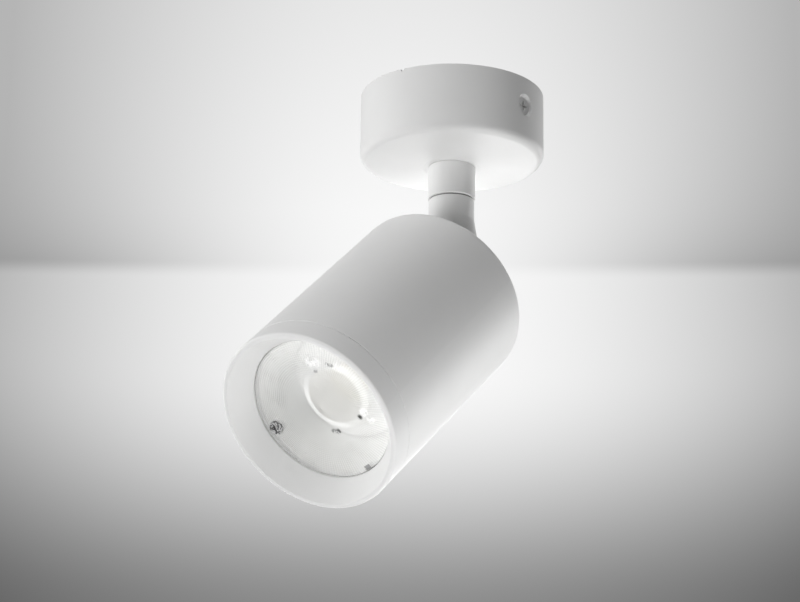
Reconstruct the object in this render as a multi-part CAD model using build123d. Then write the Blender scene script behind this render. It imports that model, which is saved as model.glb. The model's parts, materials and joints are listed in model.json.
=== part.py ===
from build123d import *
from math import cos, radians, sin
import os

# Surface mounted ceiling spotlight, millimetres.
# The origin is the centre of the ceiling plane and +Z points up into the ceiling.
# At rest the lamp head looks down towards -Y, TILT degrees from straight down.

# ---------------------------------------------------------------- driving dimensions
TILT = 48.3                 # head axis from straight down, as photographed

CANOPY_R = 40.0
CANOPY_H = 30.0
CANOPY_WALL = 1.2
CANOPY_EDGE = 3.8           # rounding of the canopy's lower edge
CANOPY_DISH = 2.4           # how far the middle of the canopy's base stands below that edge
SIDE_SCREW_Z = -12.6        # the two screws that hold the canopy to the bracket
SIDE_SCREW_R = 3.95
SIDE_SCREW_TOP = 38.6       # their heads lie deep in a bevelled hole

COLLAR_R = 10.25
STEM_R = 9.9
COLLAR_END_Z = -47.1        # top of the swivel groove
ARM_TOP_Z = -47.7           # bottom of the swivel groove
PIVOT_Z = -85.2             # tilt axis, along X

HEAD_R = 39.5
CAP_T = 10.2                # rear face of the head, in front of the tilt axis
SEAM_T = 111.4              # seam between housing and bezel
RIM_T = 122.5               # front edge of the bezel
HEAD_EDGE = 4.8             # rounding of the head's rear edge

BASE_Z = -CANOPY_H - CANOPY_DISH    # middle of the canopy's base, where the stem starts

# ---------------------------------------------------------------- details
DISH_FLAT_R = 12.5          # flat middle of the canopy's base
BRACKET_X = 36.2            # half length of the ceiling bracket
BRACKET_W = 18.0
SHEET = 1.5
TAB_W = 12.0
TAB_DROP = 18.5
SLOT_X = 25.0               # the two mounting slots sit at +-25 along X
SLOT_LENGTH = 12.0
SLOT_W = 4.5
CABLE_HOLE_X = -13.0
CABLE_HOLE_R = 4.8
EARTH_X = 13.0
SHELF_W = 24.0              # the bracket's side shelf that carries the terminal block
SHELF_END_Y = -25.0

BLOCK_Y = -18.0
BLOCK_SIZE = (30.0, 14.0, 12.0)
POLE_PITCH = 9.0
POLE_Z = -9.0
POLE_R = 2.6
BLOCK_SCREW_X = 4.5

SPINDLE_TOP_Z = -19.0
LOCK_WASHER = 0.9
SPINDLE_END_Z = -62.0
THREAD_R = 5.0              # M10 hollow thread
SPINDLE_R = 7.5
SPINDLE_BORE = 3.2
GROOVE_Z = -56.0
GROOVE_R = 6.3
GROOVE_HALF = 1.35
WEB_HALF_ANGLE = 4.0        # stop web left in the spindle's groove

HOOD_X = 12.2               # half width of the arm's hood
HOOD_TOP_Z = -57.0
HOOD_FULL_Z = -67.0
SLOT_HALF = 5.6             # half width of the hood's slot
TONGUE_HALF = 5.0
EAR_INNER = 2.8             # the lead passes between the tongue's two ears
TONGUE_R = 7.5
HOOD_GAP = 0.3
BOLT_R = 2.5                # M5 pivot bolt

REAR_WALL = 3.0
REAR_BORE = 36.2
FRONT_BORE = 37.5
SHOULDER_T = 81.4           # step in the housing that the heat sink rests on
TONGUE_PLATE_R = 17.0
TONGUE_SCREW_Y = 12.6
GROMMET_R = 4.4

DRIVER_W = 46.0
DRIVER_D = 28.0
DRIVER_T0 = 24.0
DRIVER_PLATE_T = 58.4
DRIVER_SCREW_X = 28.0
LEAD_Y = -20.8              # channel for the light source's leads

SINK_R = 37.2
SINK_BASE = 6.0
FIN_R = 35.6
FIN_T0 = 62.0
FIN_THICK = 1.6
FIN_PITCH = 5.2
FIN_COUNT = 13

SINK_FACE_T = SHOULDER_T + SINK_BASE
BOARD = 22.0
EMITTER_R = 8.5
HOLDER_SCREW_X = 16.2
HOLDER_R = 24.3             # the holder's skirt covers the leads' channel
HOLDER_TOP_T = SINK_FACE_T + 3.8
LED_LEAD_X = 2.4
LED_LEAD_R = 0.9
LED_LEAD_T = SINK_FACE_T + 1.9

LENS_T = 111.4              # front face of the lens
LENS_R = 30.7
LENS_FLANGE_R = 34.0
LENS_CONE_R = 22.2          # widest part of the lens's cone, behind its front plate
LENS_REAR_T = 92.2
WELL_DISC_R = 12.9          # smooth disc on top of the lens's inner well
WELL_RIM_R = 14.9           # bevel round that disc
WELL_TOP_T = 101.2
FLANGE_REAR_T = 108.9
LENS_SCREW = (-25.6, -3.7)  # as photographed, in the lens plane
SCREW_BOSS_R = 3.2
LENS_TAB_ANGLE = -73.0
LENS_TAB_R = 29.7

RIM_R = 37.3                # inner edge of the bezel's front face
RIM_EDGE = 1.3              # rounding of the bezel's outer front edge
SEAM_BEVEL = 0.45           # bevel on the housing's front edge, which shows as a fine line
THROAT_R = 31.1             # inner edge of the bezel's cone, at the lens
SKIRT_T = 103.0

PIVOT = Vector(0, 0, PIVOT_Z)
HEAD_DIR = Vector(0, -sin(radians(TILT)), -cos(radians(TILT)))
HEAD = Plane(origin=PIVOT, x_dir=(1, 0, 0), z_dir=HEAD_DIR).location

TOP = (Align.CENTER, Align.CENTER, Align.MAX)
BASE = (Align.CENTER, Align.CENTER, Align.MIN)


# ---------------------------------------------------------------- helpers
def rod(radius, low, high, x=0.0, y=0.0):
    """Round bar along Z between two heights."""
    return Pos(x, y, low) * Cylinder(radius, high - low, align=BASE)


def tube(outer, inner, low, high, x=0.0, y=0.0):
    """Round tube along Z between two heights."""
    return rod(outer, low, high, x, y) - rod(inner, low - 1, high + 1, x, y)


def taper(low_radius, high_radius, low, high, x=0.0, y=0.0):
    """Cone frustum along Z between two heights."""
    return Pos(x, y, low) * Cone(low_radius, high_radius, high - low, align=BASE)


def block(x0, x1, y0, y1, z0, z1):
    """Box between two corners."""
    centre = Pos((x0 + x1) / 2, (y0 + y1) / 2, (z0 + z1) / 2)
    return centre * Box(x1 - x0, y1 - y0, z1 - z0)


def hexagon(across_flats, low, high):
    """Hexagonal bar along Z between two heights."""
    face = RegularPolygon(across_flats / 2, 6, major_radius=False)
    return Pos(0, 0, low) * extrude(face, high - low)


def turned(points):
    """Solid of revolution about Z from (radius, height) points."""
    return revolve(Plane.XZ * make_face(Polyline(*points, close=True)), Axis.Z)


def rims(part, radius, height):
    """The circular edges of a part that have this radius and height."""
    circles = part.edges().filter_by(GeomType.CIRCLE)
    return circles.filter_by(
        lambda edge: abs(edge.radius - radius) < 0.01 and abs(edge.arc_center.Z - height) < 0.01
    )


def cross_recess(width, arm, depth):
    """Cross-head driver recess, its mouth at z = 0 and its floor below."""
    bar = Box(width, arm, depth, align=TOP)
    return bar + Rot(0, 0, 90) * bar


def pan_screw(head_r, head_h, shank_r, length):
    """Pan-head screw standing on z = 0 with its shank below."""
    head = Cylinder(head_r, head_h, align=BASE)
    head = fillet(rims(head, head_r, head_h), head_h * 0.45)
    recess = Pos(0, 0, head_h) * cross_recess(head_r * 0.28, head_r * 1.2, head_h * 0.6)
    return head + Cylinder(shank_r, length, align=TOP) - recess


def sunk_screw(head_r, head_h, shank_r, length):
    """Countersunk screw with its flat top at z = 0 and its shank below."""
    head = Pos(0, 0, -head_h) * Cone(shank_r, head_r, head_h, align=BASE)
    recess = cross_recess(head_r * 0.24, head_r * 1.15, head_h * 0.6)
    return head + Cylinder(shank_r, length, align=TOP) - recess


def wire(points, bends, radius):
    """Round insulated lead along straight runs joined by arcs."""
    path = FilletPolyline(*points, radius=bends)
    start = Plane(origin=path @ 0, z_dir=path % 0)
    return sweep(start * Circle(radius), path=path)


def save(part, name):
    part.label = name
    export_step(part, f"parts/{name}.step")


# ---------------------------------------------------------------- ceiling side
def ceiling_bracket():
    plate = block(-BRACKET_X, BRACKET_X, -BRACKET_W / 2, BRACKET_W / 2, -SHEET, 0)
    plate += block(-SHELF_W / 2, SHELF_W / 2, SHELF_END_Y, -BRACKET_W / 2, -SHEET, 0)
    for side in (-1, 1):
        tab_centre = side * (BRACKET_X - SHEET / 2)
        plate += Pos(tab_centre, 0, -SHEET) * Box(SHEET, TAB_W, TAB_DROP - SHEET, align=TOP)
        slot = extrude(SlotOverall(SLOT_LENGTH, SLOT_W), SHEET + 2, both=True)
        plate -= Pos(side * SLOT_X, 0, 0) * slot
        plate -= Pos(side * BRACKET_X, 0, SIDE_SCREW_Z) * Rot(0, 90, 0) * Cylinder(2.0, 8)
    plate -= rod(CABLE_HOLE_R, -3, 1, CABLE_HOLE_X)
    plate -= rod(2.0, -3, 1, EARTH_X)
    plate -= rod(1.5, -3, 1, BLOCK_SCREW_X, BLOCK_Y)
    return plate


def earth_screw():
    washer = tube(4.6, 2.0, -SHEET - 0.8, -SHEET)
    screw = Rot(180, 0, 0) * pan_screw(3.6, 2.4, 2.0, 2.2)
    return Pos(EARTH_X, 0, 0) * (washer + Pos(0, 0, -SHEET - 0.8) * screw)


def canopy():
    outer = Cylinder(CANOPY_R, CANOPY_H, align=TOP)
    outer = fillet(rims(outer, CANOPY_R, -CANOPY_H), CANOPY_EDGE)
    inner_r = CANOPY_R - CANOPY_WALL
    inner_h = CANOPY_H - CANOPY_WALL
    inner = Cylinder(inner_r, inner_h, align=TOP)
    inner = fillet(rims(inner, inner_r, -inner_h), CANOPY_EDGE - CANOPY_WALL)
    dish_r = CANOPY_R - CANOPY_EDGE
    dish = taper(DISH_FLAT_R, dish_r, BASE_Z, -CANOPY_H)
    shell = outer + dish - inner - Pos(0, 0, CANOPY_WALL) * dish
    for side in (0, 180):
        turn = Rot(0, 0, side) * Pos(0, 0, SIDE_SCREW_Z) * Rot(0, 90, 0)
        shell += turn * taper(3.6, 6.2, 36.4, 39.2)
        shell -= turn * taper(SIDE_SCREW_R + 0.1, 5.1, SIDE_SCREW_TOP, CANOPY_R + 0.1)
        shell -= turn * taper(2.05, SIDE_SCREW_R + 0.1, SIDE_SCREW_TOP - 1.7, SIDE_SCREW_TOP)
        shell -= turn * rod(2.05, 30, 38)
    shell -= rod(THREAD_R + 0.2, BASE_Z - 1, BASE_Z + 3)
    notch_angle = -84.3     # small release notch in the rim, as photographed
    shell -= Rot(0, 0, notch_angle) * block(CANOPY_R - 3, CANOPY_R + 1, -0.8, 0.8, -0.9, 1)
    return shell


def canopy_side_screws():
    screw = Rot(0, 90, 0) * Pos(0, 0, SIDE_SCREW_TOP) * sunk_screw(SIDE_SCREW_R, 1.7, 1.98, 7.6)
    placed = Pos(0, 0, SIDE_SCREW_Z) * screw
    return Compound(children=[placed, Rot(0, 0, 180) * placed])


def terminal_block():
    width, depth, height = BLOCK_SIZE
    body = Pos(0, BLOCK_Y, -SHEET) * Box(width, depth, height, align=TOP)
    body = fillet(body.edges().filter_by(Axis.Z), 1.2)
    for pole in (-1, 0, 1):
        x = pole * POLE_PITCH
        body -= Pos(x, BLOCK_Y, POLE_Z) * Rot(90, 0, 0) * Cylinder(POLE_R, depth + 2)
        for row in (-1, 1):
            body -= rod(1.7, -SHEET - height - 1, POLE_Z, x, BLOCK_Y + row * 3.5)
    for gap in (-1, 1):
        body -= block(gap * 4.5 - 0.5, gap * 4.5 + 0.5, BLOCK_Y - 8, BLOCK_Y - 5, -20, -SHEET - 2)
    body -= rod(1.5, -20, 0, BLOCK_SCREW_X, BLOCK_Y)
    return body


def terminal_tubes():
    tubes = []
    for pole in (-1, 0, 1):
        x = pole * POLE_PITCH
        sleeve = Cylinder(POLE_R, 12.0) - Cylinder(1.7, 14.0)
        sleeve = Pos(x, BLOCK_Y, POLE_Z) * Rot(90, 0, 0) * sleeve
        for row in (-1, 1):
            sleeve -= rod(1.5, POLE_Z - 4, POLE_Z, x, BLOCK_Y + row * 3.5)
        tubes.append(sleeve)
    return Compound(children=tubes)


def terminal_screws():
    screws = []
    for pole in (-1, 0, 1):
        for row in (-1, 1):
            grub = Cylinder(1.48, 2.6, align=BASE) - Box(0.5, 4, 0.9)
            place = Pos(pole * POLE_PITCH, BLOCK_Y + row * 3.5, POLE_Z - 3.8)
            screws.append(place * grub)
    return Compound(children=screws)


def terminal_mount_screw():
    low = -SHEET - BLOCK_SIZE[2]
    return Pos(BLOCK_SCREW_X, BLOCK_Y, low) * Rot(180, 0, 0) * pan_screw(2.6, 1.6, 1.45, 13.2)


def supply_lead(pole, angle):
    """One lead from a terminal down the hollow spindle to its lower end."""
    x = 1.55 * cos(radians(angle))
    y = 1.55 * sin(radians(angle))
    points = [
        (pole * POLE_PITCH, BLOCK_Y + 3.0, POLE_Z),
        (pole * POLE_PITCH, BLOCK_Y + 10.5, POLE_Z),
        (pole * POLE_PITCH * 0.55 + x * 0.45, y - 2.6, POLE_Z - 1.5),
        (x, y, POLE_Z - 7.5),
        (x, y, SPINDLE_END_Z + 1.0),
    ]
    return wire(points, [3.0, 2.6, 4.0], 1.1)


def stem_collar():
    collar = tube(COLLAR_R, THREAD_R, COLLAR_END_Z, BASE_Z)
    collar = chamfer(rims(collar, COLLAR_R, COLLAR_END_Z), 0.35)
    return chamfer(rims(collar, COLLAR_R, BASE_Z), 0.3)


def swivel_spindle():
    spindle = rod(THREAD_R, COLLAR_END_Z, SPINDLE_TOP_Z)
    spindle += rod(SPINDLE_R, SPINDLE_END_Z, COLLAR_END_Z)
    spindle = chamfer(rims(spindle, THREAD_R, SPINDLE_TOP_Z), 0.6)
    groove = tube(SPINDLE_R + 1, GROOVE_R, GROOVE_Z - GROOVE_HALF, GROOVE_Z + GROOVE_HALF)
    web_width = 2 * SPINDLE_R * sin(radians(WEB_HALF_ANGLE))
    web = block(-web_width / 2, web_width / 2, -SPINDLE_R - 2, 0, GROOVE_Z - 3, GROOVE_Z + 3)
    spindle -= groove - web
    return spindle - rod(SPINDLE_BORE, SPINDLE_END_Z - 1, SPINDLE_TOP_Z + 1)


def lock_washer():
    low = BASE_Z + CANOPY_WALL
    washer = tube(8.6, THREAD_R + 0.1, low, low + LOCK_WASHER)
    for tooth in range(12):
        washer -= Rot(0, 0, tooth * 30) * block(7.2, 9, -0.6, 0.6, low - 1, low + 2)
    return washer


def spindle_nut():
    low = BASE_Z + CANOPY_WALL + LOCK_WASHER
    nut = hexagon(16.0, low, low + 4.5) & taper(12.2, 8.2, low - 6, low + 5.2)
    return nut - rod(THREAD_R, low - 1, low + 6)


def swivel_washer():
    return tube(9.35, SPINDLE_R + 0.05, ARM_TOP_Z + 0.1, COLLAR_END_Z)


# ---------------------------------------------------------------- swivelling arm
def swivel_arm():
    hood_end = PIVOT_Z - 12
    arm = rod(STEM_R, HOOD_TOP_Z, ARM_TOP_Z)
    arm = chamfer(rims(arm, STEM_R, ARM_TOP_Z), 0.3)
    round_end = Pos(0, 0, HOOD_TOP_Z) * Circle(STEM_R)
    hood_start = Pos(0, 0, HOOD_FULL_Z) * Ellipse(HOOD_X, STEM_R)
    arm += loft([round_end, hood_start])
    hood = Pos(0, 0, hood_end) * extrude(Ellipse(HOOD_X, STEM_R), HOOD_FULL_Z - hood_end)
    barrel = Pos(0, 0, PIVOT_Z) * Rot(0, 90, 0) * Cylinder(STEM_R, 4 * HOOD_X)
    keep = barrel + block(-30, 30, -30, 30, PIVOT_Z, 0)
    arm += hood & keep
    arm -= rod(SPINDLE_R + 0.05, SPINDLE_END_Z - 1.0, 0)
    arm -= rod(4.0, PIVOT_Z, SPINDLE_END_Z)
    slot_back = TONGUE_R + HOOD_GAP
    arm -= block(-SLOT_HALF, SLOT_HALF, -30, slot_back, hood_end, PIVOT_Z + TONGUE_R + 0.4)
    arm -= Pos(0, STEM_R, GROOVE_Z) * Rot(90, 0, 0) * Cylinder(1.5, 8)
    cross = Pos(0, 0, PIVOT_Z) * Rot(0, 90, 0)
    arm -= cross * rod(BOLT_R + 0.05, -20, 20)
    arm -= cross * rod(4.6, 8.9, 20)
    arm -= cross * hexagon(8.2, -20, -7.6)
    return arm


def swivel_lock_screw():
    grub = rod(1.48, 0, 1.9) + rod(1.0, 1.9, 3.1) - hexagon(1.5, -1, 1.1)
    return Pos(0, STEM_R - 0.2, GROOVE_Z) * Rot(90, 0, 0) * grub


def pivot_bolt():
    shank = rod(BOLT_R, -11.6, 8.9)
    head = rod(4.3, 8.9, 11.5)
    head = chamfer(rims(head, 4.3, 11.5), 0.4) - hexagon(3.0, 9.8, 12)
    return Pos(0, 0, PIVOT_Z) * Rot(0, 90, 0) * (shank + head)


def pivot_spring_washer():
    ring = tube(4.0, BOLT_R + 0.1, -8.6, -7.6) - block(0, 6, -0.3, 0.3, -10, -6)
    return Pos(0, 0, PIVOT_Z) * Rot(0, 90, 0) * ring


def pivot_nut():
    nut = hexagon(8.0, -11.4, -8.6) - rod(BOLT_R, -12, -8)
    return Pos(0, 0, PIVOT_Z) * Rot(0, 90, 0) * nut


def friction_washers():
    pair = []
    for side in (-1, 1):
        inner = side * (TONGUE_HALF + 0.1)
        outer = side * SLOT_HALF
        ring = tube(6.8, BOLT_R + 0.1, min(inner, outer), max(inner, outer))
        pair.append(Pos(0, 0, PIVOT_Z) * Rot(0, 90, 0) * ring)
    return Compound(children=pair)


# ---------------------------------------------------------------- lamp head, along its own axis
def tilt_tongue():
    plate_t = CAP_T + REAR_WALL
    barrel = Rot(0, 90, 0) * Cylinder(TONGUE_R, 2 * TONGUE_HALF)
    strip = block(-TONGUE_HALF, TONGUE_HALF, -TONGUE_R, TONGUE_R, 0, plate_t + 1)
    ears = barrel + strip - block(-EAR_INNER, EAR_INNER, -20, 20, -20, plate_t)
    tongue = ears + rod(TONGUE_PLATE_R, plate_t, plate_t + 3)
    tongue -= Rot(0, 90, 0) * Cylinder(BOLT_R + 0.06, 40)
    tongue -= rod(GROMMET_R, plate_t - 1, plate_t + 4)
    for side in (-1, 1):
        tongue -= rod(2.0, plate_t - 1, plate_t + 4, 0, side * TONGUE_SCREW_Y)
    return tongue


def tongue_screws():
    screw = Rot(180, 0, 0) * sunk_screw(3.8, 1.95, 1.95, 7.0)
    top = CAP_T + 0.05
    pair = [Pos(0, side * TONGUE_SCREW_Y, top) * screw for side in (-1, 1)]
    return Compound(children=pair)


def cable_grommet():
    plate_t = CAP_T + REAR_WALL
    grommet = rod(GROMMET_R, plate_t, plate_t + 3) + rod(5.8, plate_t + 3, plate_t + 4.2)
    return grommet - rod(2.3, plate_t - 1, plate_t + 6)


def head_supply_lead():
    return rod(2.25, CAP_T + REAR_WALL - 0.6, DRIVER_T0 - 2.5)


def head_housing():
    outer = rod(HEAD_R, CAP_T, SEAM_T)
    outer = fillet(rims(outer, HEAD_R, CAP_T), HEAD_EDGE)
    outer = chamfer(rims(outer, HEAD_R, SEAM_T), SEAM_BEVEL)
    rear_room = rod(REAR_BORE, CAP_T + REAR_WALL, SHOULDER_T + 1)
    rear_room = fillet(rims(rear_room, REAR_BORE, CAP_T + REAR_WALL), 1.6)
    shell = outer - rear_room - rod(FRONT_BORE, SHOULDER_T, SEAM_T + 1)
    slot_x = TONGUE_HALF + 0.25
    slot_y = TONGUE_R + 0.3
    shell -= block(-slot_x, slot_x, -slot_y, slot_y, CAP_T - 1, CAP_T + REAR_WALL + 1)
    for side in (-1, 1):
        y = side * TONGUE_SCREW_Y
        shell -= rod(2.05, CAP_T - 1, CAP_T + REAR_WALL + 1, 0, y)
        shell -= taper(4.05, 2.05, CAP_T - 0.05, CAP_T + 2.1, 0, y)
    return shell


def driver_case():
    half_w = DRIVER_W / 2
    half_d = DRIVER_D / 2
    case = block(-half_w, half_w, -half_d, half_d, DRIVER_T0, DRIVER_PLATE_T)
    case = fillet(case.edges().filter_by(Axis.Z), 2.5)
    for side in (-1, 1):
        foot = block(half_w - 1, half_w + 8.5, -5, 5, DRIVER_PLATE_T - 2.5, DRIVER_PLATE_T)
        case += foot if side > 0 else Rot(0, 0, 180) * foot
        case -= rod(1.6, DRIVER_PLATE_T - 4, DRIVER_PLATE_T + 1, side * DRIVER_SCREW_X)
    return case


def driver_lid():
    half_w = DRIVER_W / 2 + 0.6
    half_d = DRIVER_D / 2 + 0.6
    lid = block(-half_w, half_w, -half_d, half_d, DRIVER_T0 - 2.5, DRIVER_T0)
    return fillet(lid.edges().filter_by(Axis.Z), 3.0)


def driver_plate():
    plate = rod(35.4, DRIVER_PLATE_T, DRIVER_PLATE_T + SHEET)
    plate -= block(-6, 6, -40, LEAD_Y + 3.5, DRIVER_PLATE_T - 1, DRIVER_PLATE_T + 3)
    for side in (-1, 1):
        plate -= rod(1.6, DRIVER_PLATE_T - 1, DRIVER_PLATE_T + 3, side * DRIVER_SCREW_X)
    return plate


def driver_screws():
    screw = Rot(180, 0, 0) * pan_screw(2.8, 1.9, 1.48, 10.0)
    top = DRIVER_PLATE_T - 2.5
    pair = [Pos(side * DRIVER_SCREW_X, 0, top) * screw for side in (-1, 1)]
    return Compound(children=pair)


def heat_sink():
    sink = rod(SINK_R, SHOULDER_T, SINK_FACE_T)
    sink = chamfer(rims(sink, SINK_R, SINK_FACE_T), 0.6)
    fins = []
    for index in range(FIN_COUNT):
        x = (index - (FIN_COUNT - 1) / 2) * FIN_PITCH
        fins.append(block(x - FIN_THICK / 2, x + FIN_THICK / 2, -40, 40, FIN_T0, SHOULDER_T))
    sink += rod(FIN_R, FIN_T0, SHOULDER_T) & Part(children=fins)
    for side in (-1, 1):
        sink += rod(4.0, DRIVER_PLATE_T + SHEET, SHOULDER_T, side * DRIVER_SCREW_X)
        sink -= rod(1.5, DRIVER_PLATE_T, DRIVER_PLATE_T + 12, side * DRIVER_SCREW_X)
        sink -= rod(1.5, SINK_FACE_T - 5, SINK_FACE_T + 1, side * HOLDER_SCREW_X)
    sink -= block(-4.5, 4.5, LEAD_Y - 2.5, LEAD_Y + 2.5, FIN_T0 - 1, SINK_FACE_T + 1)
    return sink


def thermal_pad():
    return block(-BOARD / 2, BOARD / 2, -BOARD / 2, BOARD / 2, SINK_FACE_T, SINK_FACE_T + 0.3)


def cob_board():
    low = SINK_FACE_T + 0.3
    return block(-BOARD / 2, BOARD / 2, -BOARD / 2, BOARD / 2, low, low + 1.0)


def cob_emitter():
    low = SINK_FACE_T + 1.3
    return rod(EMITTER_R, low, low + 0.5)


def cob_holder():
    top = HOLDER_TOP_T
    pocket_top = SINK_FACE_T + 1.5
    holder = rod(HOLDER_R, SINK_FACE_T, top)
    holder = chamfer(rims(holder, HOLDER_R, top), 0.8)
    pocket = BOARD / 2 + 0.2
    holder -= rod(SCREW_BOSS_R + 0.3, SINK_FACE_T - 1, top + 1, *LENS_SCREW)
    lead_room = LED_LEAD_X + LED_LEAD_R + 0.2
    lead_top = LED_LEAD_T + LED_LEAD_R + 0.05
    holder -= block(-pocket, pocket, -pocket, pocket, SINK_FACE_T - 1, pocket_top)
    holder -= taper(9.6, 12.8, pocket_top - 0.01, top + 0.01)
    for side in (-1, 1):
        holder -= rod(1.6, SINK_FACE_T - 1, top + 1, side * HOLDER_SCREW_X)
        holder -= rod(2.9, top - 1.7, top + 1, side * HOLDER_SCREW_X)
    return holder - block(-lead_room, lead_room, LEAD_Y - 2.5, -pocket, SINK_FACE_T - 1, lead_top)


def cob_holder_screws():
    screw = pan_screw(2.7, 1.5, 1.48, 6.0)
    seat = HOLDER_TOP_T - 1.7
    pair = [Pos(side * HOLDER_SCREW_X, 0, seat) * screw for side in (-1, 1)]
    return Compound(children=pair)


def lens_holder():
    holder = turned([
        (24.8, SINK_FACE_T), (29.0, SINK_FACE_T), (29.0, SINK_FACE_T + 2.6),
        (35.4, FLANGE_REAR_T - 2.3), (35.4, FLANGE_REAR_T), (29.8, FLANGE_REAR_T),
        (29.8, FLANGE_REAR_T - 2.7), (24.8, SINK_FACE_T + 3.4),
    ])
    x, y = LENS_SCREW
    holder += rod(SCREW_BOSS_R, SINK_FACE_T, FLANGE_REAR_T, x, y)
    holder -= rod(1.5, FLANGE_REAR_T - 9, FLANGE_REAR_T + 1, x, y)
    tab = block(LENS_TAB_R - 0.9, LENS_TAB_R + 0.9, -1.5, 1.5, FLANGE_REAR_T - 2.7, LENS_T - 0.3)
    return holder + Rot(0, 0, LENS_TAB_ANGLE) * tab


def tir_lens():
    front = LENS_T
    step = LENS_T - 1.2
    cone_rear = (17.3, LENS_REAR_T)
    cone_front = (LENS_CONE_R, FLANGE_REAR_T)
    well_mouth = (15.6, LENS_REAR_T)
    well_edge = (WELL_RIM_R, WELL_TOP_T - 1.4)
    disc_edge = (WELL_DISC_R, WELL_TOP_T - 0.5)
    disc_middle = (0, WELL_TOP_T)
    outline = Polyline(disc_edge, well_edge, well_mouth, cone_rear)
    outline += ThreePointArc(cone_rear, (20.5, LENS_REAR_T + 8.2), cone_front)
    outline += Polyline(
        cone_front, (LENS_FLANGE_R, FLANGE_REAR_T), (LENS_FLANGE_R, step),
        (LENS_R, step), (LENS_R, front), (0, front), disc_middle,
    )
    outline += ThreePointArc(disc_middle, (WELL_DISC_R / 2, WELL_TOP_T - 0.125), disc_edge)
    lens = revolve(Plane.XZ * make_face(outline), Axis.Z)
    x, y = LENS_SCREW
    lens -= rod(1.6, FLANGE_REAR_T - 1, front + 1, x, y)
    notch = block(LENS_TAB_R - 1.0, LENS_TAB_R + 1.0, -1.6, 1.6, FLANGE_REAR_T - 1, front + 1)
    return lens - Rot(0, 0, LENS_TAB_ANGLE) * notch


def lens_screw():
    x, y = LENS_SCREW
    return Pos(x, y, LENS_T) * pan_screw(2.9, 1.5, 1.48, 9.0)


def bezel_gasket():
    return tube(LENS_FLANGE_R, THROAT_R + 0.4, LENS_T - 1.2, LENS_T - 0.4)


def bezel_ring():
    lip = LENS_T - 0.4
    ring = turned([
        (HEAD_R, SEAM_T), (HEAD_R, RIM_T), (RIM_R, RIM_T), (THROAT_R, LENS_T + 0.9),
        (THROAT_R, lip), (35.8, lip), (35.8, SKIRT_T), (FRONT_BORE - 0.05, SKIRT_T),
        (FRONT_BORE - 0.05, SEAM_T),
    ])
    ring = chamfer(rims(ring, HEAD_R, SEAM_T), 0.15)
    ring = fillet(rims(ring, HEAD_R, RIM_T), RIM_EDGE)
    return fillet(rims(ring, RIM_R, RIM_T), 0.4)


def led_lead(x):
    """One lead from the driver through the heat sink to the light source's holder."""
    exit_t = DRIVER_PLATE_T - 10.4
    points = [
        (x, -DRIVER_D / 2, exit_t),
        (x, LEAD_Y, exit_t),
        (x, LEAD_Y, LED_LEAD_T),
        (x, -BOARD / 2 - 0.5, LED_LEAD_T),
    ]
    return wire(points, [3.5, 1.6], LED_LEAD_R)


ROOT_PARTS = {
    "ceiling_bracket": ceiling_bracket,
    "earth_screw": earth_screw,
    "canopy": canopy,
    "canopy_side_screws": canopy_side_screws,
    "terminal_block": terminal_block,
    "terminal_tubes": terminal_tubes,
    "terminal_screws": terminal_screws,
    "terminal_mount_screw": terminal_mount_screw,
    "lead_live": lambda: supply_lead(-1, 150),
    "lead_neutral": lambda: supply_lead(0, 270),
    "lead_earth": lambda: supply_lead(1, 30),
    "stem_collar": stem_collar,
    "swivel_spindle": swivel_spindle,
    "lock_washer": lock_washer,
    "spindle_nut": spindle_nut,
    "swivel_washer": swivel_washer,
}

ARM_PARTS = {
    "swivel_arm": swivel_arm,
    "swivel_lock_screw": swivel_lock_screw,
    "pivot_bolt": pivot_bolt,
    "pivot_spring_washer": pivot_spring_washer,
    "pivot_nut": pivot_nut,
    "friction_washers": friction_washers,
}

HEAD_PARTS = {
    "tilt_tongue": tilt_tongue,
    "tongue_screws": tongue_screws,
    "cable_grommet": cable_grommet,
    "head_supply_lead": head_supply_lead,
    "head_housing": head_housing,
    "driver_case": driver_case,
    "driver_lid": driver_lid,
    "driver_plate": driver_plate,
    "driver_screws": driver_screws,
    "heat_sink": heat_sink,
    "thermal_pad": thermal_pad,
    "cob_board": cob_board,
    "cob_emitter": cob_emitter,
    "cob_holder": cob_holder,
    "cob_holder_screws": cob_holder_screws,
    "lens_holder": lens_holder,
    "tir_lens": tir_lens,
    "lens_screw": lens_screw,
    "bezel_gasket": bezel_gasket,
    "bezel_ring": bezel_ring,
    "led_lead_positive": lambda: led_lead(LED_LEAD_X),
    "led_lead_negative": lambda: led_lead(-LED_LEAD_X),
}

os.makedirs("parts", exist_ok=True)
for name, make in {**ROOT_PARTS, **ARM_PARTS}.items():
    save(make(), name)
for name, make in HEAD_PARTS.items():
    save(HEAD * make(), name)
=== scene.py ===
import json
from math import cos, pi, radians, sin

import bmesh
import bpy
from mathutils import Matrix, Vector

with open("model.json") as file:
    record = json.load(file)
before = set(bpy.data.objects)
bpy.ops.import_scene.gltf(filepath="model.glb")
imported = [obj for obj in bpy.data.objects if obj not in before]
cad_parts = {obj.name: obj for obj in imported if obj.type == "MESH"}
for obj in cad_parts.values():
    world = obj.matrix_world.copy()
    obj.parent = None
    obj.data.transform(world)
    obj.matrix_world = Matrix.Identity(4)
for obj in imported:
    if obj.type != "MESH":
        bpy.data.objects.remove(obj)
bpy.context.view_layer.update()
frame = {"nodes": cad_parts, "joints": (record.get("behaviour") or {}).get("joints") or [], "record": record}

NODES = frame["nodes"]
MM = 0.001

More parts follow.
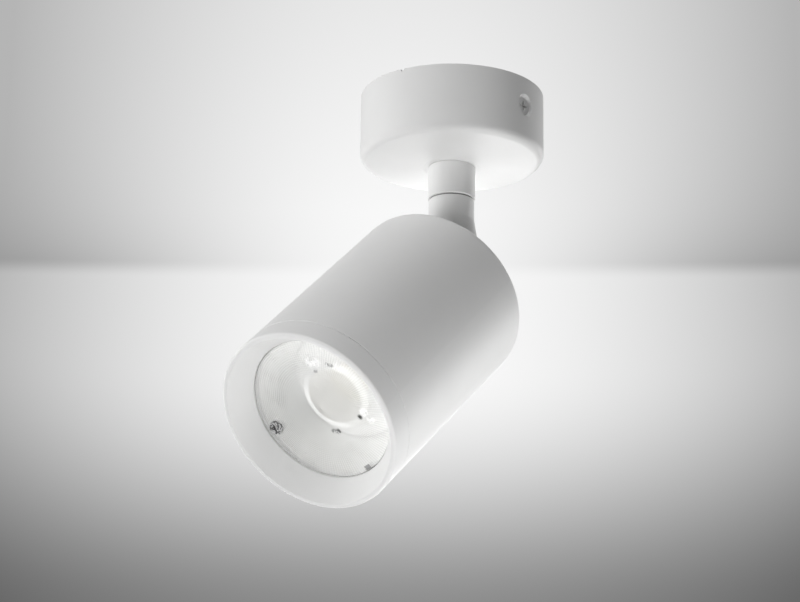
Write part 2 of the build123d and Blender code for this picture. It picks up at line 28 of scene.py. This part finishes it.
# ---------------------------------------------------------------- the object's own directions
JOINTS = {joint["name"]: joint for joint in frame["joints"]}
PIVOT = Vector(JOINTS["head_tilt"]["pos_m"])
TILT = radians(48.3)                         # head axis from straight down, at rest
HEAD_AXIS = Vector((0, -sin(TILT), -cos(TILT)))
HEAD_UP = Vector((0, -cos(TILT), sin(TILT)))
HEAD = Matrix.Translation(PIVOT) @ Matrix((
    (1, 0, 0), (0, HEAD_UP.y, HEAD_AXIS.y), (0, HEAD_UP.z, HEAD_AXIS.z),
)).to_4x4()

# ---------------------------------------------------------------- camera, in metres
VIEW_AZIMUTH = radians(37.84)                # from -Y towards +X, as the photograph stands
CAMERA_BACK = 1.0389
CAMERA_HEIGHT = -0.4231
CAMERA_YAW = radians(-1.202)
CAMERA_PITCH = radians(17.61)
CAMERA_ROLL = radians(0.728)
FOCAL_MM = 114.42
SENSOR_MM = 36.0
CLIP_START = 0.05
CLIP_END = 20.0

# ---------------------------------------------------------------- lens, in metres
# ALONG is a place along the head's axis, R is a distance from it
FACE_ALONG = 0.1113                          # the lens's front face
WELL_ALONG = (0.0995, 0.1016)                # end of the inner well
WELL_R = 0.0150
WELL_RIM_R = 0.01215                         # where the end's pale rim begins
CONE_ALONG = (0.0926, 0.1086)                # the well's slanted wall
CONE_R = 0.0171
LATCH_SHADE_ALONG = 0.10915                    # the holder's latch is painted dark beyond this, as painted shade
BEAD_PITCH = 0.0009                          # between the rings of beads
BEAD_COUNT = 150                             # beads in each ring
BEADS_FADE_R = (0.012, 0.021)                # the beads grow from nothing to full between these radii
BEADS_RINGED = 170                           # degrees; rings show most on this side, rays elsewhere

LENS_BODY = (0.80, 0.81, 0.79, 1)
LENS_FRONT = (0.88, 0.885, 0.87, 1)
# painted shade on the left of the well's slanted wall
CONE_PAINTED_SHADE = (0.45, 0.47, 0.46, 1)
WELL_END = (0.44, 0.425, 0.375, 1)
RIM_PALE = (0.80, 0.80, 0.76, 1)
# the rim's painted highlight and painted shade follow
RIM_PAINTED_HIGHLIGHT = (1.0, 1.0, 0.98, 1)
RIM_PAINTED_SHADE = (0.45, 0.45, 0.44, 1)
# how much each hides what lies behind it
LENS_BODY_COVER = 0.16
LENS_FRONT_COVER = 0.42
CONE_COVER = 0.5
WELL_COVER = 0.8
RIM_COVER = 0.95
PAINTED_SPOT_COVER = 0.85

# painted glow on the lens, standing in for room light that it collects: least and most round the face, the
# painted glints it adds over the beads and on the rim, and the side that gets most
PAINTED_GLOW_RANGE = (0.26, 0.78)
BEAD_PAINTED_GLINT = 0.3
RIM_PAINTED_GLOW = 0.2
PAINTED_GLOW_SIDE = 20                          # degrees; the side with most painted glow
PAINTED_SHADE_PATCH = (8.0, 3.0, 111.4)               # millimetres; a patch of painted shade, where the painted glow is weaker
PAINTED_SHADE_PATCH_R = 17.0
PAINTED_SHADE_PATCH_SHARE = 0.55

# painted spots on the lens: dark ones are painted shade, pale ones painted highlights; place across and up
# in millimetres, radius, and grey level
PAINTED_SPOTS_ALONG = 111.4
PAINTED_LENS_SPOTS = (
    (0.9, -10.3, 2.0, 0.20),                 # painted shade, lower
    (3.2, -10.8, 2.2, 0.12),
    (16.3, -6.6, 2.0, 0.02),                 # painted shade, right
    (14.4, 17.2, 1.6, 0.30),                 # painted shade, upper
    (12.6, 17.9, 1.8, 0.20),
    (5.9, 16.4, 2.0, 0.35),
    (5.0, 20.6, 2.8, 0.80),                  # pale painted highlights
    (8.0, 19.8, 2.6, 0.80),
    (19.0, -4.9, 2.6, 0.85),
    (20.6, -8.6, 2.4, 0.85),
)

# ---------------------------------------------------------------- lights
MIDDLE = Vector((0, -0.05, -0.1))            # the point that most lights face
HEAD_MIDDLE = PIVOT + HEAD_AXIS * 0.07
NEAR_RIM = Vector((0.036, -0.103, -0.154))   # the side of the bezel's rim nearest to the camera
# name, azimuth from the camera's side and elevation in degrees, power in watts
FAR_LIGHTS = (
    ("left_front", 315, -18, 6.65),
    ("left", 270, 8, 3.5),
    ("right_rear", 135, 8, 4.06),
    ("top_front", 0, 65, 4.84),
    ("top_left", 300, 65, 2.16),
)
FAR_DISTANCE = 1.2
FAR_SIZE = 0.45
NEAR_LIGHTS = (
    ("low_right", 60, -50, 0.48),
    ("right", 80, -35, 0.14),
    ("under_rear", 125, -70, 0.90),
    ("rear", 180, -10, 1.01),
    ("rear_left", 240, -10, 0.89),
)
NEAR_DISTANCE = 0.5
NEAR_SIZE = 0.25
# the same, with each one's distance, size, power and the point that it faces
CLOSE_LIGHTS = (
    ("head_side", 85, -38, 0.20, 0.12, 0.080, HEAD_MIDDLE),
    ("rim_side", 55, -20, 0.14, 0.06, 0.006, NEAR_RIM),
    ("rim_front", -12, -30, 0.14, 0.06, 0.050, NEAR_RIM),
)
WORLD_GREY = 0.8
WORLD_STRENGTH = 0.02

# ---------------------------------------------------------------- floor and wall, in metres
FLOOR_Z = -0.75
FLOOR_GLOW = 0.33
FLAT_R = 0.8                                 # a ring that keeps the shading of the floor's middle flat
WALL_R = 2.6
COVE_R = 0.7
COVE_STEPS = 12
WALL_TOP = 2.6
STAGE_SIDES = 128

HORIZON_Z = 0.794
HORIZON_SOFT = 0.028
HORIZON_BEND = 0.053                         # keeps the horizon straight in the picture on a round wall
POOL_AZIMUTH = VIEW_AZIMUTH + 0.029
POOL_HALF_ANGLE = 0.231
# the wall's pattern fades out between these two angles, and between these two heights
PATTERN_SIDES = (POOL_HALF_ANGLE * 1.07, POOL_HALF_ANGLE * 1.35)
PATTERN_FOOT = (0.06, 0.2)
# brightness from 0 to 1, and for a pair of them the heights between which it changes
PLAIN_WALL = 0.45
UPPER_SIDES = 0.465
SIDES_DIP = 0.125                            # how much darker the sides are just above the horizon
EDGE_DIP = 0.36                              # the same at the pool's edges
DIP_HEIGHT = 0.095                           # the dips fade upwards over this height
UPPER_MIDDLE = (0.945, 0.815)
UPPER_HEIGHTS = (HORIZON_Z + 0.08, HORIZON_Z + 0.42)
LOWER_SIDES = (0.125, 0.482)
LOWER_SIDES_HEIGHTS = (0.249, 0.663)
LOWER_MIDDLE = (0.25, 0.965)
LOWER_MIDDLE_HEIGHTS = (0.232, 0.632)


def direction(azimuth, elevation):
    """Unit vector from the object towards a compass place; azimuth 0 is -Y and 90 degrees is +X."""
    flat = cos(elevation)
    return Vector((sin(azimuth) * flat, -cos(azimuth) * flat, sin(elevation)))


def make_camera():
    turn = Matrix.Rotation(VIEW_AZIMUTH, 3, "Z")
    yaw, pitch, roll = CAMERA_YAW, CAMERA_PITCH, CAMERA_ROLL
    forward = Vector((sin(yaw) * cos(pitch), cos(yaw) * cos(pitch), sin(pitch)))
    right = Vector((cos(yaw), -sin(yaw), 0))
    up = right.cross(forward)
    rolled_right = right * cos(roll) + up * sin(roll)
    rolled_up = up * cos(roll) - right * sin(roll)
    columns = [turn @ rolled_right, turn @ rolled_up, turn @ -forward]
    data = bpy.data.cameras.new("camera")
    data.lens = FOCAL_MM
    data.sensor_width = SENSOR_MM
    data.clip_start = CLIP_START
    data.clip_end = CLIP_END
    camera = bpy.data.objects.new("camera", data)
    rotation = Matrix(columns).transposed().to_4x4()
    place = turn @ Vector((0, -CAMERA_BACK, 0)) + Vector((0, 0, CAMERA_HEIGHT))
    camera.matrix_world = Matrix.Translation(place) @ rotation
    bpy.context.scene.collection.objects.link(camera)
    bpy.context.scene.camera = camera


# ---------------------------------------------------------------- materials
class Nodes:
    """A material's node tree, built a node at a time."""

    def __init__(self, name):
        self.material = bpy.data.materials.new(name)
        self.material.use_nodes = True
        self.tree = self.material.node_tree
        self.tree.nodes.clear()
        self.output = self.tree.nodes.new("ShaderNodeOutputMaterial")

    def add(self, kind, values=None, **settings):
        """Node of a kind, with its settings, and a value or a link for each input that is given."""
        node = self.tree.nodes.new("ShaderNode" + kind)
        for key, value in settings.items():
            setattr(node, key, value)
        for key, value in (values or {}).items():
            if isinstance(value, bpy.types.NodeSocket):
                self.tree.links.new(value, node.inputs[key])
            else:
                node.inputs[key].default_value = value
        return node

    def coordinates(self, turn=(0, 0, 0), move=(0, 0, 0)):
        source = self.add("TexCoord").outputs["Object"]
        values = {"Vector": source, "Rotation": turn, "Location": move}
        return self.add("Mapping", values).outputs["Vector"]

    def noise(self, scale, detail=3.0, roughness=0.5):
        return self.add("TexNoise", {
            "Vector": self.coordinates(), "Scale": scale, "Detail": detail, "Roughness": roughness,
        }).outputs["Fac"]

    def math(self, operation, a, b=0.0):
        return self.add("Math", {0: a, 1: b}, operation=operation).outputs[0]

    def plus(self, a, b):
        return self.math("ADD", a, b)

    def minus(self, a, b):
        return self.math("SUBTRACT", a, b)

    def times(self, first, *others):
        for value in others:
            first = self.math("MULTIPLY", first, value)
        return first

    def flip(self, value):
        return self.minus(1.0, value)

    def spread(self, value, low, high, out_low, out_high):
        return self.add("MapRange", {
            "Value": value, "From Min": low, "From Max": high, "To Min": out_low, "To Max": out_high,
        }).outputs[0]

    def blend(self, factor, first, second):
        """Number between two others."""
        return self.add("Mix", {0: factor, 2: first, 3: second}, data_type="FLOAT").outputs[0]

    def mix_colours(self, factor, first, second):
        return self.add("Mix", {0: factor, 6: first, 7: second}, data_type="RGBA").outputs[2]

    def shades(self, cloud, colour, darkest):
        """A colour that a noise darkens in clouds, down to a share of it."""
        factor = self.spread(cloud, 0.3, 0.7, 0, 1)
        return self.mix_colours(factor, tinted(colour, darkest), tinted(colour, 1.0))

    def step(self, value, low, high):
        """0 below low, 1 above high, with a soft change between."""
        return self.add("MapRange", {"Value": value, "From Min": low, "From Max": high},
                        interpolation_type="SMOOTHSTEP").outputs[0]

    def beyond(self, value, edge, soft=0.0001):
        """0 below an edge and 1 above it."""
        return self.step(value, edge - soft, edge + soft)

    def band(self, value, low, high):
        """1 between low and high, 0 outside."""
        return self.times(self.beyond(value, low), self.flip(self.beyond(value, high)))

    def towards(self, angle, side, low, high):
        """1 near a side given in degrees, falling to 0 as the cosine from it drops from high to low."""
        return self.step(self.math("COSINE", self.minus(angle, radians(side))), low, high)

    def spot(self, place, centre, radius):
        """1 at a point given in millimetres, falling softly to 0 at a radius round it."""
        total = 0.0
        for value, middle in zip(place, centre):
            offset = self.minus(value, middle * MM)
            total = self.plus(self.times(offset, offset), total)
        return self.flip(self.step(self.math("SQRT", total), radius * MM / 4, radius * MM))

    def bump(self, height, distance, strength=1.0):
        return self.add("Bump", {"Height": height, "Distance": distance, "Strength": strength}).outputs[0]

    def head_place(self):
        """Place in the lamp head's own directions: across, up and along its axis, then radius and angle."""
        inverse = HEAD.inverted()
        place = self.coordinates(turn=inverse.to_euler(), move=inverse.to_translation())
        x, y, along = self.add("SeparateXYZ", {0: place}).outputs
        radius = self.math("SQRT", self.plus(self.times(x, x), self.times(y, y)))
        return x, y, along, radius, self.math("ARCTAN2", y, x)

    def finish(self, kind, values):
        shader = self.add(kind, values)
        self.tree.links.new(shader.outputs[0], self.output.inputs["Surface"])
        return self.material


def grey(value):
    return (value, value, value, 1)


def tinted(colour, factor):
    return (colour[0] * factor, colour[1] * factor, colour[2] * factor, 1)


def powder_coat(name, colour):
    """Matt powder paint: a fine orange peel, faint clouding and a soft sheen."""
    n = Nodes(name)
    peel = n.noise(scale=1400.0, roughness=0.55)
    grain = n.noise(scale=5200.0, detail=2.0)
    cloud = n.noise(scale=34.0, detail=4.0, roughness=0.55)
    height = n.plus(peel, n.times(grain, 0.35))
    return n.finish("BsdfPrincipled", {
        "Base Color": n.shades(cloud, colour, darkest=0.975),
        "Roughness": n.spread(peel, 0.25, 0.75, 0.50, 0.62), "Specular IOR Level": 0.42,
        "Normal": n.bump(height, distance=0.00003, strength=0.55),
    })


def plated(name, colour, roughness):
    """Plated or bare metal with fine grain and slight wear in its roughness."""
    n = Nodes(name)
    grain = n.noise(scale=900.0, detail=4.0, roughness=0.6)
    patch = n.noise(scale=60.0)
    return n.finish("BsdfPrincipled", {
        "Base Color": n.shades(patch, colour, darkest=0.88), "Metallic": 1.0,
        "Roughness": n.spread(grain, 0.2, 0.8, roughness * 0.75, roughness * 1.3),
        "Normal": n.bump(grain, distance=0.00002, strength=0.5),
    })


def moulded(name, colour, roughness=0.45):
    """Moulded plastic or rubber: a fine spark-eroded grain and faint flow marks."""
    n = Nodes(name)
    grain = n.noise(scale=2600.0, detail=2.0)
    flow = n.noise(scale=90.0)
    return n.finish("BsdfPrincipled", {
        "Base Color": n.shades(flow, colour, darkest=0.94),
        "Roughness": n.spread(grain, 0.2, 0.8, roughness * 0.9, roughness * 1.12),
        "Normal": n.bump(grain, distance=0.00002, strength=0.4),
    })


def plastic_with_painted_shade(name):
    """White moulded plastic of the lens holder, with painted shade on the latch's end where it fills the
    lens's notch.
    """
    n = Nodes(name)
    along = n.head_place()[2]
    grain = n.noise(scale=2600.0, detail=2.0)
    # painted shade on the latch's end
    painted_shade_end = n.beyond(along, LATCH_SHADE_ALONG, soft=0.00015)
    return n.finish("BsdfPrincipled", {
        "Base Color": n.mix_colours(painted_shade_end, (0.84, 0.84, 0.82, 1), grey(0.34)),
        "Roughness": n.spread(grain, 0.2, 0.8, 0.4, 0.5),
        "Normal": n.bump(grain, distance=0.00002, strength=0.4),
    })


def speckled_steel(name):
    """Blackened steel worn through to small bright specks."""
    n = Nodes(name)
    specks = n.step(n.noise(scale=1300.0, detail=2.0, roughness=0.6), 0.42, 0.62)
    return n.finish("BsdfPrincipled", {
        "Base Color": n.mix_colours(specks, grey(0.10), grey(0.62)),
        "Metallic": n.blend(specks, 0.5, 0.1), "Roughness": n.blend(specks, 0.35, 0.55),
        "Normal": n.bump(specks, distance=0.00003, strength=0.6),
    })


def lens_beads(n, radius, angle, face):
    """Height of the beads on the lens's face, which are rings on one side and rays on the other."""
    rings = n.math("COSINE", n.times(radius, 2 * pi / BEAD_PITCH))
    rays = n.math("COSINE", n.times(angle, BEAD_COUNT))
    ringed = n.blend(n.towards(angle, BEADS_RINGED, -0.2, 0.9), 0.12, 0.5)
    rayed = n.blend(n.towards(angle, BEADS_RINGED, -0.6, 0.7), 0.45, 0.08)
    patchy = n.spread(n.noise(scale=160.0, detail=2.0), 0.35, 0.6, 0.35, 1.0)
    beads = n.plus(n.times(rings, ringed), n.times(rays, rayed))
    return n.times(beads, patchy, face, n.step(radius, *BEADS_FADE_R))


def clear_lens(name):
    """Clear moulded lens: a beaded face with a painted glow, and inside it a smooth disc with a pale rim;
    painted highlight and shade on the rim and the slanted wall, and painted spots of shade and highlight.
    """
    n = Nodes(name)
    x, y, along, radius, angle = n.head_place()
    place = (x, y, along)
    face = n.beyond(along, FACE_ALONG, soft=0.00005)
    well = n.times(n.band(along, *WELL_ALONG), n.flip(n.beyond(radius, WELL_R)))
    rim = n.times(well, n.beyond(radius, WELL_RIM_R, soft=0.00015))
    cone = n.times(n.band(along, *CONE_ALONG), n.beyond(radius, CONE_R))
    # painted shade on the left of the well's slanted wall
    painted_shade_cone = n.times(cone, n.towards(angle, 165, 0.3, 1.0))
    # painted highlight and painted shade on the rim's two sides
    painted_lit_side = n.towards(angle, -160, 0.1, 0.75)
    painted_dull_side = n.towards(angle, 115, 0.55, 0.95)
    rim_colour = n.mix_colours(painted_dull_side, n.mix_colours(painted_lit_side, RIM_PALE, RIM_PAINTED_HIGHLIGHT), RIM_PAINTED_SHADE)
    beads = lens_beads(n, radius, angle, face)

    colour, cover = LENS_BODY, LENS_BODY_COVER
    for mask, layer_colour, layer_cover in (
        (face, LENS_FRONT, LENS_FRONT_COVER),
        (painted_shade_cone, CONE_PAINTED_SHADE, CONE_COVER),
        (well, WELL_END, WELL_COVER),
        (rim, rim_colour, RIM_COVER),
    ):
        colour = n.mix_colours(mask, colour, layer_colour)
        cover = n.blend(mask, cover, layer_cover)

    # painted glow over the face, with painted glints over the beads and on the rim
    painted_glow = n.blend(n.towards(angle, PAINTED_GLOW_SIDE, -1.0, 1.0), *PAINTED_GLOW_RANGE)
    painted_glow = n.times(n.plus(painted_glow, n.times(beads, BEAD_PAINTED_GLINT)), face)
    painted_glow = n.times(painted_glow, n.blend(n.spot(place, PAINTED_SHADE_PATCH, PAINTED_SHADE_PATCH_R), 1.0, PAINTED_SHADE_PATCH_SHARE))
    painted_glow = n.plus(painted_glow, n.times(rim, painted_lit_side, RIM_PAINTED_GLOW))

    # painted spots of shade and highlight, which also set the painted glow where they lie
    broken = n.step(n.noise(scale=620.0, detail=2.0), 0.32, 0.52)
    for across, up, size, shade in PAINTED_LENS_SPOTS:
        painted_spot = n.times(n.spot(place, (across, up, PAINTED_SPOTS_ALONG), size), broken)
        colour = n.mix_colours(painted_spot, colour, grey(shade))
        cover = n.blend(painted_spot, cover, PAINTED_SPOT_COVER)
        painted_glow = n.blend(painted_spot, painted_glow, shade * 0.6 - 0.05)
    # the emission carries the painted glow; the lens is no lamp
    return n.finish("BsdfPrincipled", {
        "Base Color": colour, "Alpha": cover, "Roughness": n.blend(face, 0.12, 0.3), "IOR": 1.49,
        "Emission Color": painted_glow, "Emission Strength": 1.0, "Normal": n.bump(beads, distance=0.0003),
    })


def paint_nodes():
    white = (0.82, 0.82, 0.815)
    finishes = {
        "white_coated_steel": powder_coat("white_coat_canopy", white),
        "white_coated_aluminium": powder_coat("white_coat", white),
        "zinc_steel": plated("zinc_plating", (0.66, 0.68, 0.70), 0.32),
        "nickel_screw": plated("nickel_plating", (0.72, 0.70, 0.67), 0.22),
        "dark_screw": plated("blackened_steel", (0.16, 0.16, 0.165), 0.38),
        "brass": plated("brass", (0.80, 0.60, 0.26), 0.25),
        "cast_alloy": plated("cast_alloy", (0.62, 0.63, 0.65), 0.42),
        "bare_aluminium": plated("bare_aluminium", (0.80, 0.81, 0.82), 0.35),
        "clear_lens": clear_lens("clear_lens"),
        "white_plastic": moulded("white_plastic", (0.84, 0.84, 0.82)),
        "black_nylon": moulded("black_nylon", (0.03, 0.03, 0.03)),
        "grey_rubber": moulded("grey_rubber", (0.30, 0.30, 0.30), 0.7),
        "thermal_silicone": moulded("thermal_silicone", (0.45, 0.50, 0.56), 0.7),
        "phosphor": moulded("phosphor", (0.90, 0.76, 0.30), 0.6),
        "insulation_brown": moulded("insulation_brown", (0.20, 0.09, 0.04), 0.35),
        "insulation_blue": moulded("insulation_blue", (0.05, 0.20, 0.55), 0.35),
        "insulation_green_yellow": moulded("insulation_green_yellow", (0.22, 0.50, 0.10), 0.35),
        "insulation_white": moulded("insulation_white", (0.80, 0.80, 0.78), 0.35),
        "insulation_red": moulded("insulation_red", (0.60, 0.04, 0.03), 0.35),
        "insulation_black": moulded("insulation_black", (0.02, 0.02, 0.02), 0.35),
    }
    own = {
        "lens_holder": plastic_with_painted_shade("lens_holder_plastic_painted_shade"),
        "lens_screw": speckled_steel("worn_black_steel"),
        # a white plastic washer coloured dark grey as painted shade of the swivel's groove
        "swivel_washer": moulded("washer_painted_groove_shade", (0.22, 0.22, 0.215)),
    }
    for part in frame["record"]["subparts"]:
        node = NODES[part["node"]]
        node.data.materials.clear()
        node.data.materials.append(own.get(part["node"], finishes[part["material_slot"]]))


# ---------------------------------------------------------------- stage and light
def lathe(name, profile):
    """Open surface of revolution about the Z axis, from (radius, height) points."""
    bm = bmesh.new()
    rings = []
    for radius, height in profile:
        if radius == 0:
            rings.append([bm.verts.new((0, 0, height))])
            continue
        ring = []
        for index in range(STAGE_SIDES):
            angle = 2 * pi * index / STAGE_SIDES
            ring.append(bm.verts.new((radius * cos(angle), radius * sin(angle), height)))
        rings.append(ring)
    for low_ring, high_ring in zip(rings, rings[1:]):
        for index in range(STAGE_SIDES):
            after = (index + 1) % STAGE_SIDES
            corners = [low_ring[index % len(low_ring)], low_ring[after % len(low_ring)],
                       high_ring[after], high_ring[index]]
            bm.faces.new(list(dict.fromkeys(corners)))
    bmesh.ops.recalc_face_normals(bm, faces=bm.faces)
    mesh = bpy.data.meshes.new(name)
    bm.to_mesh(mesh)
    bm.free()
    mesh.shade_smooth()
    mesh.set_sharp_from_angle(angle=radians(35))
    thing = bpy.data.objects.new(name, mesh)
    bpy.context.scene.collection.objects.link(thing)
    return thing


def wall_material():
    """Studio wall that glows: plain all round, with a faint horizon and a painted pool of light behind the
    object.
    """
    n = Nodes("studio_wall")
    east, north, height = n.add("SeparateXYZ", {0: n.coordinates()}).outputs
    across = n.plus(n.times(east, cos(POOL_AZIMUTH)), n.times(north, sin(POOL_AZIMUTH)))
    behind = n.minus(n.times(north, cos(POOL_AZIMUTH)), n.times(east, sin(POOL_AZIMUTH)))
    turn = n.math("ABSOLUTE", n.math("ARCTAN2", across, behind))
    pool = n.math("COSINE", n.math("MINIMUM", n.times(turn, pi / 2 / POOL_HALF_ANGLE), pi / 2))
    edge = n.times(pool, n.flip(pool))
    height = n.minus(height, n.times(across, sin(CAMERA_ROLL)))
    height = n.plus(height, n.times(across, across, HORIZON_BEND))

    above = n.math("MAXIMUM", n.minus(height, HORIZON_Z), 0.0)
    dip = n.math("EXPONENT", n.times(above, -1 / DIP_HEIGHT))
    upper_sides = n.minus(UPPER_SIDES, n.times(dip, SIDES_DIP))
    upper_middle = n.spread(height, *UPPER_HEIGHTS, *UPPER_MIDDLE)
    upper = n.minus(n.blend(pool, upper_sides, upper_middle), n.times(dip, edge, EDGE_DIP))

    lower_sides = n.blend(n.step(height, *LOWER_SIDES_HEIGHTS), *LOWER_SIDES)
    lower_middle = n.blend(n.step(height, *LOWER_MIDDLE_HEIGHTS), *LOWER_MIDDLE)
    lower = n.blend(pool, lower_sides, lower_middle)

    pattern = n.blend(n.step(height, HORIZON_Z - HORIZON_SOFT, HORIZON_Z), lower, upper)
    plain = n.math("MAXIMUM", n.step(turn, *PATTERN_SIDES), n.flip(n.step(height, *PATTERN_FOOT)))
    return n.finish("Emission", {"Color": n.blend(plain, pattern, PLAIN_WALL), "Strength": 1.0})


def floor_material():
    """Pale matt floor with a little light of its own, as on a light table."""
    n = Nodes("studio_floor")
    return n.finish("BsdfPrincipled", {
        "Base Color": n.mix_colours(n.noise(scale=3.0), grey(0.74), grey(0.78)), "Roughness": 0.8,
        "Emission Color": grey(1.0), "Emission Strength": FLOOR_GLOW,
    })


def make_stage():
    cove = []
    for index in range(COVE_STEPS + 1):
        angle = pi / 2 * index / COVE_STEPS
        cove.append((WALL_R - COVE_R + COVE_R * sin(angle), FLOOR_Z + COVE_R - COVE_R * cos(angle)))
    floor = lathe("floor", [(0, FLOOR_Z), (FLAT_R, FLOOR_Z)] + cove)
    wall = lathe("wall", [cove[-1], (WALL_R, WALL_TOP)])
    floor.data.materials.append(floor_material())
    wall.data.materials.append(wall_material())
    for thing in (floor, wall):
        thing.visible_diffuse = False        # their own light doesn't shade the object


def area_light(name, azimuth, elevation, distance, size, power, target=MIDDLE):
    """A square soft light that faces a point, from a compass place round that point, in degrees."""
    towards = direction(VIEW_AZIMUTH + radians(azimuth), radians(elevation))
    data = bpy.data.lights.new(name, "AREA")
    data.shape = "SQUARE"
    data.size = size
    data.energy = power
    light = bpy.data.objects.new(name, data)
    light.visible_camera = False
    light.location = target + towards * distance
    light.rotation_mode = "QUATERNION"
    light.rotation_quaternion = (-towards).to_track_quat("-Z", "Y")
    bpy.context.scene.collection.objects.link(light)


def light_stage():
    for name, azimuth, elevation, power in FAR_LIGHTS:
        area_light(name, azimuth, elevation, FAR_DISTANCE, FAR_SIZE, power)
    for name, azimuth, elevation, power in NEAR_LIGHTS:
        area_light(name, azimuth, elevation, NEAR_DISTANCE, NEAR_SIZE, power)
    for light in CLOSE_LIGHTS:
        area_light(*light)
    world = bpy.data.worlds.new("studio")
    world.use_nodes = True
    background = world.node_tree.nodes["Background"]
    background.inputs["Color"].default_value = grey(WORLD_GREY)
    background.inputs["Strength"].default_value = WORLD_STRENGTH
    bpy.context.scene.world = world
    bpy.context.scene.view_settings.view_transform = "Standard"


make_camera()
make_stage()
light_stage()
paint_nodes()
